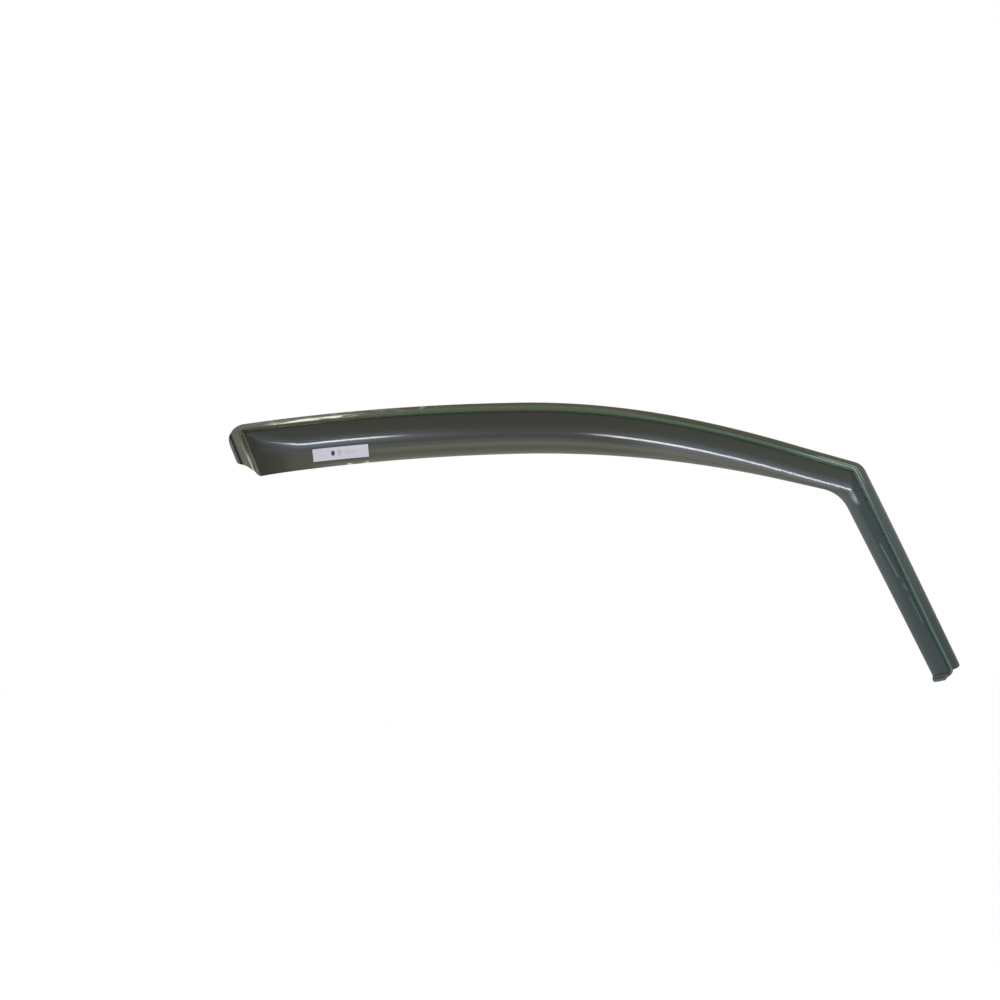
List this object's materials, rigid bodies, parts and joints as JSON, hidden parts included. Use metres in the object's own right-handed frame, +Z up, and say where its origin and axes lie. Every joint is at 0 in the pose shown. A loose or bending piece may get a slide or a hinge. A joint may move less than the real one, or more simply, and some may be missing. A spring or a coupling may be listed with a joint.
{
  "type": "window rain deflector",
  "caption": "Long tinted acrylic wind and rain deflector that slides into a front door's window channel, with a stepped flange, a raised blade and a bent front arm.",
  "frame": {"origin": "on the outer edge of the roof flange, at the middle of the sheet's thickness, where the free edge runs level", "axes": "+X towards the front of the car, along the window's top; +Y inboard, through the glass; +Z up, in the plane of the side glass at mid height"},
  "size_m": [0.839, 0.0409, 0.3209],
  "materials": {
    "acrylic": "smoke grey-green tinted acrylic, glossy, cut edges polished",
    "label": "satin white sticker with plain printed bars"
  },
  "bodies": {
    "root": {"shield": "acrylic", "label": "label"}
  },
  "joints": []
}
